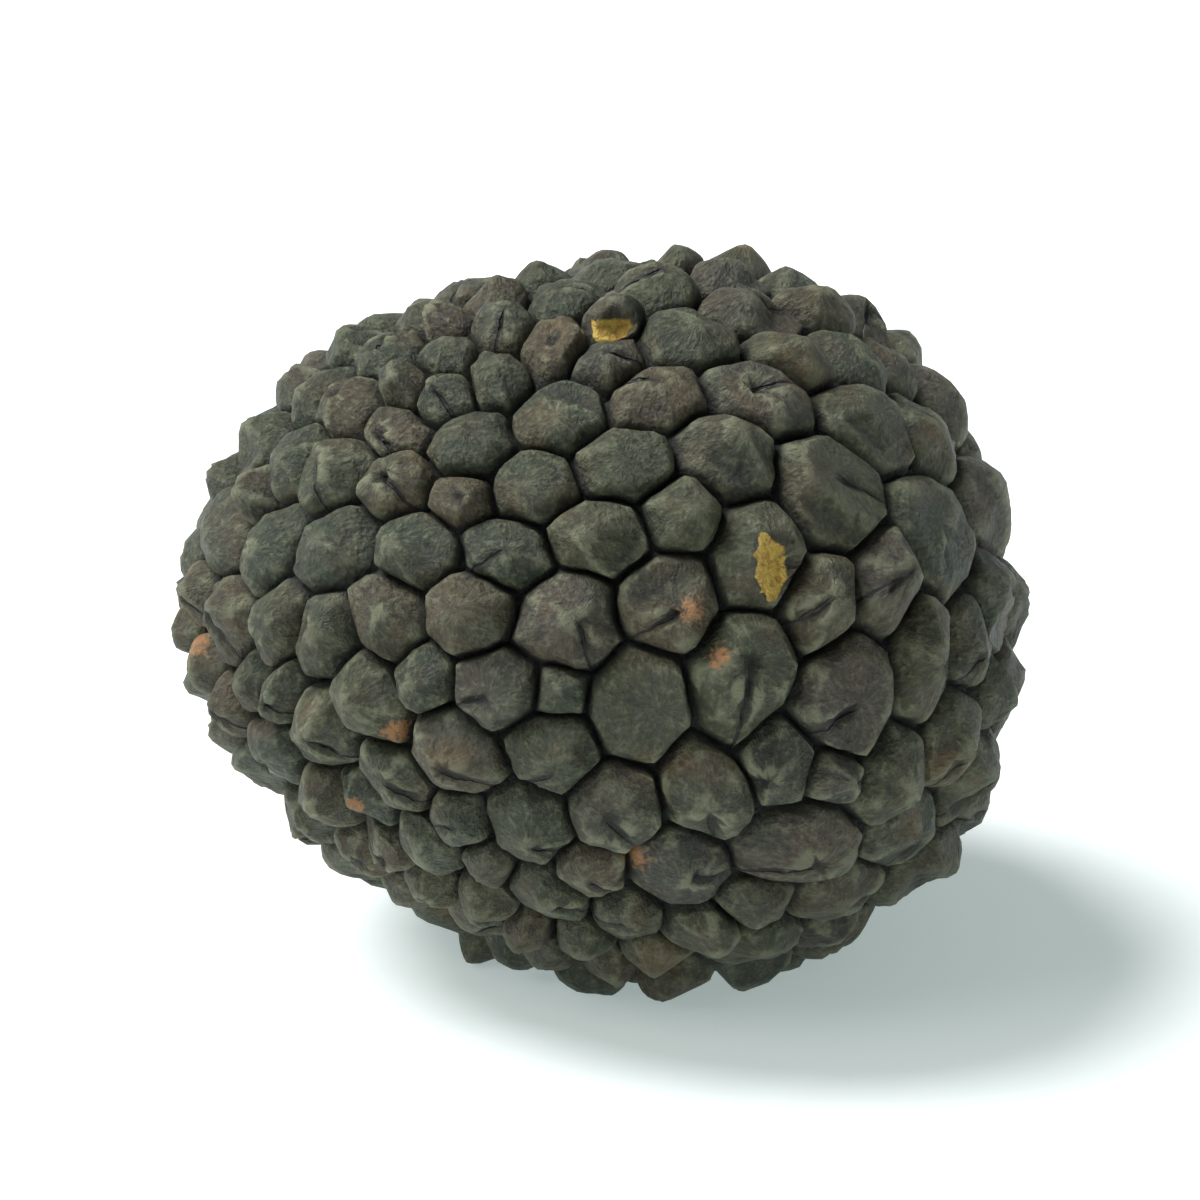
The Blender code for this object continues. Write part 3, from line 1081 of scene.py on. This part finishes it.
spots = lay_flat(truffle.data, BODY_CENTRE)
print("the map reaches from", spots.min(axis=0).round(3), "to", spots.max(axis=0).round(3))

# %% [markdown]
# ## Handing the skin over
# The skin rides on the root, because nothing on a truffle moves. It stands for the CAD truffle,
# which stays hidden as the shape that things bump into.

# %% Ride and replace
triangles = sum(len(face.vertices) - 2 for face in truffle.data.polygons)
print("skin:", len(truffle.data.polygons), "faces,", triangles, "triangles")
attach(truffle, "root")
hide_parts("truffle")

# %% [markdown]
# ## A pale floor
# Plain and matt, and so wide that its edge lies at the horizon from every side. The truffle stands
# in a bright room whose walls throw light back into the shadow. Building walls would be a lot for
# one truffle, so the floor gives off a soft light of its own, which fills the shadow as they would.

# %% Floor
FLOOR_HALF = 30.0  # metres from the middle to each side
FLOOR_COLOUR = (0.76, 0.78, 0.78, 1.0)
FLOOR_ROUGHNESS = 0.8
GLOW_COLOUR = (0.84, 1.0, 0.98, 1.0)  # a little cool, as daylight from a window is
GLOW_STRENGTH = 0.36


def pale_floor():
    """A matt, nearly white floor that lights up its own shadows a little."""
    mesh = bpy.data.meshes.new("floor")
    corners = [(-1, -1, 0), (1, -1, 0), (1, 1, 0), (-1, 1, 0)]
    mesh.from_pydata([Vector(corner) * FLOOR_HALF for corner in corners], [], [(0, 1, 2, 3)])
    material = bpy.data.materials.new("pale_floor")
    material.use_nodes = True
    shader = material.node_tree.nodes["Principled BSDF"]
    shader.inputs["Base Color"].default_value = FLOOR_COLOUR
    shader.inputs["Roughness"].default_value = FLOOR_ROUGHNESS
    shader.inputs["Emission Color"].default_value = GLOW_COLOUR
    shader.inputs["Emission Strength"].default_value = GLOW_STRENGTH
    mesh.materials.append(material)
    floor = bpy.data.objects.new("floor", mesh)
    bpy.context.scene.collection.objects.link(floor)
    return floor


floor = pale_floor()
print("floor:", [round(side, 1) for side in floor.dimensions], "m")

# %% [markdown]
# ## Light
# Soft light from above and from the left, as from a ceiling of lamps and a window. Area lamps would
# have to be placed and sized for each distance. A sun with a wide spread gives the same soft shadow
# edges wherever things stand. A faint glow from all round fills the rest. It is brighter in a low
# band, so that the floor runs out into a pale room from every side.


# %% Two soft suns and a pale room
SUNS = (  # name, where it stands, strength, spread in degrees, and colour
    ("overhead", (-0.48, 0.18, 0.78), 5.4, 36.0, (1.0, 1.0, 1.0)),
    ("window", (-0.62, -0.34, 0.56), 0.8, 30.0, (1.0, 0.99, 0.97)),
)
ROOM_COLOUR = (0.92, 0.99, 0.97)
OVERHEAD, HORIZON = (0.20, 1.15)  # brightness of the room above, and in the low band
BAND_ENDS = (0.04, 0.14)  # the low band fades out here: sines of the angle above level


def soft_sun(name, stands, strength, spread, colour):
    """Even light from one side. The wider its spread in degrees, the softer its shadows."""
    light = bpy.data.lights.new(name, "SUN")
    light.energy = strength
    light.angle = math.radians(spread)
    light.color = colour
    lamp = bpy.data.objects.new(name, light)
    lamp.rotation_euler = Vector(stands).to_track_quat("Z", "Y").to_euler()
    bpy.context.scene.collection.objects.link(lamp)
    return lamp


def pale_room(overhead, horizon, colour):
    """Faint light from all round, brighter in a low band so that the room looks pale."""
    world = bpy.data.worlds.new("pale_room")
    world.use_nodes = True
    bench = Bench(world.node_tree)
    height = bench.parts(bench.add("ShaderNodeTexCoord", out="Generated"))[2]
    background = world.node_tree.nodes["Background"]
    background.inputs["Color"].default_value = (*colour, 1.0)
    bench.feed(background.inputs["Strength"], bench.ramp(height, *BAND_ENDS, horizon, overhead))
    return world


lamps = [soft_sun(*sun) for sun in SUNS]
bpy.context.scene.world = pale_room(OVERHEAD, HORIZON, ROOM_COLOUR)
bpy.context.scene.view_settings.view_transform = "Standard"
print("lamps:", [(lamp.name, round(lamp.data.energy, 2)) for lamp in lamps])

# %% [markdown]
# ## Camera
# The camera looks down at the front by the angle from which the marks were placed. It stands half a
# metre away with a long lens, so that the truffle isn't drawn out of shape.

# %% Camera
CAMERA_DISTANCE = 0.55
FOCAL_LENGTH = 285.0  # the camera's own sizes are in mm
SENSOR_WIDTH = 36.0

lens = bpy.data.cameras.new("camera")
lens.lens = FOCAL_LENGTH
lens.sensor_width = SENSOR_WIDTH
camera = bpy.data.objects.new("camera", lens)
camera.location = middle + TOWARDS_EYE * CAMERA_DISTANCE
camera.rotation_euler = TOWARDS_EYE.to_track_quat("Z", "Y").to_euler()
bpy.context.scene.collection.objects.link(camera)
bpy.context.scene.camera = camera
seen = SENSOR_WIDTH / FOCAL_LENGTH * CAMERA_DISTANCE
print(f"the camera sees {seen / MM:.0f} mm across the truffle")
